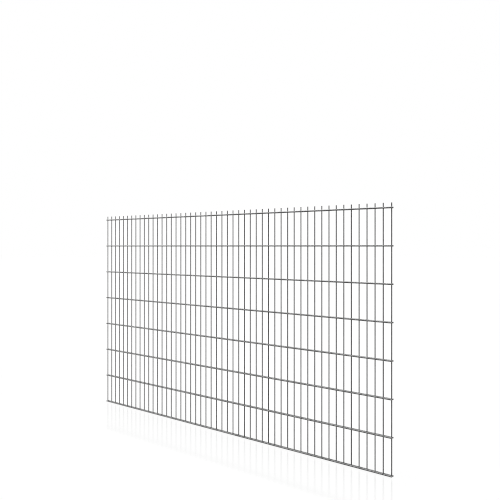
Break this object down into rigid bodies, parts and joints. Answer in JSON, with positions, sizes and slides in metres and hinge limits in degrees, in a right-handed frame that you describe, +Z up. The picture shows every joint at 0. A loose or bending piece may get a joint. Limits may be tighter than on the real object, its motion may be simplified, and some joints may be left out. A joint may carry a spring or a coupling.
{
  "type": "double wire welded mesh fence panel",
  "caption": "Flat fence panel of galvanised round wires: upright wires welded between the front and back wires of horizontal rows, their cut ends standing above the top row as short spikes.",
  "frame": {"origin": "on the cut lower end of the middle vertical wire, at the bottom centre of the panel", "axes": "+X along the panel to the right as seen from its front, +Y towards its back, +Z up"},
  "size_m": [2.51, 0.022, 1.43],
  "materials": {
    "galvanised_wire": "hot-dip galvanised, dull grey"
  },
  "bodies": {
    "root": {"horizontal_wire_front_1": "galvanised_wire", "horizontal_wire_front_2": "galvanised_wire", "horizontal_wire_front_3": "galvanised_wire", "horizontal_wire_front_4": "galvanised_wire", "horizontal_wire_front_5": "galvanised_wire", "horizontal_wire_front_6": "galvanised_wire", "horizontal_wire_front_7": "galvanised_wire", "horizontal_wire_front_8": "galvanised_wire", "horizontal_wire_back_1": "galvanised_wire", "horizontal_wire_back_2": "galvanised_wire", "horizontal_wire_back_3": "galvanised_wire", "horizontal_wire_back_4": "galvanised_wire", "horizontal_wire_back_5": "galvanised_wire", "horizontal_wire_back_6": "galvanised_wire", "horizontal_wire_back_7": "galvanised_wire", "horizontal_wire_back_8": "galvanised_wire", "vertical_wires_01_03": "galvanised_wire", "vertical_wires_04_06": "galvanised_wire", "vertical_wires_07_09": "galvanised_wire", "vertical_wires_10_12": "galvanised_wire", "vertical_wires_13_15": "galvanised_wire", "vertical_wires_16_18": "galvanised_wire", "vertical_wires_19_21": "galvanised_wire", "vertical_wires_22_24": "galvanised_wire", "vertical_wires_25_27": "galvanised_wire", "vertical_wires_28_30": "galvanised_wire", "vertical_wires_31_33": "galvanised_wire", "vertical_wires_34_36": "galvanised_wire", "vertical_wires_37_39": "galvanised_wire", "vertical_wires_40_42": "galvanised_wire", "vertical_wires_43_45": "galvanised_wire", "vertical_wires_46_48": "galvanised_wire", "vertical_wires_49_51": "galvanised_wire"}
  },
  "joints": []
}
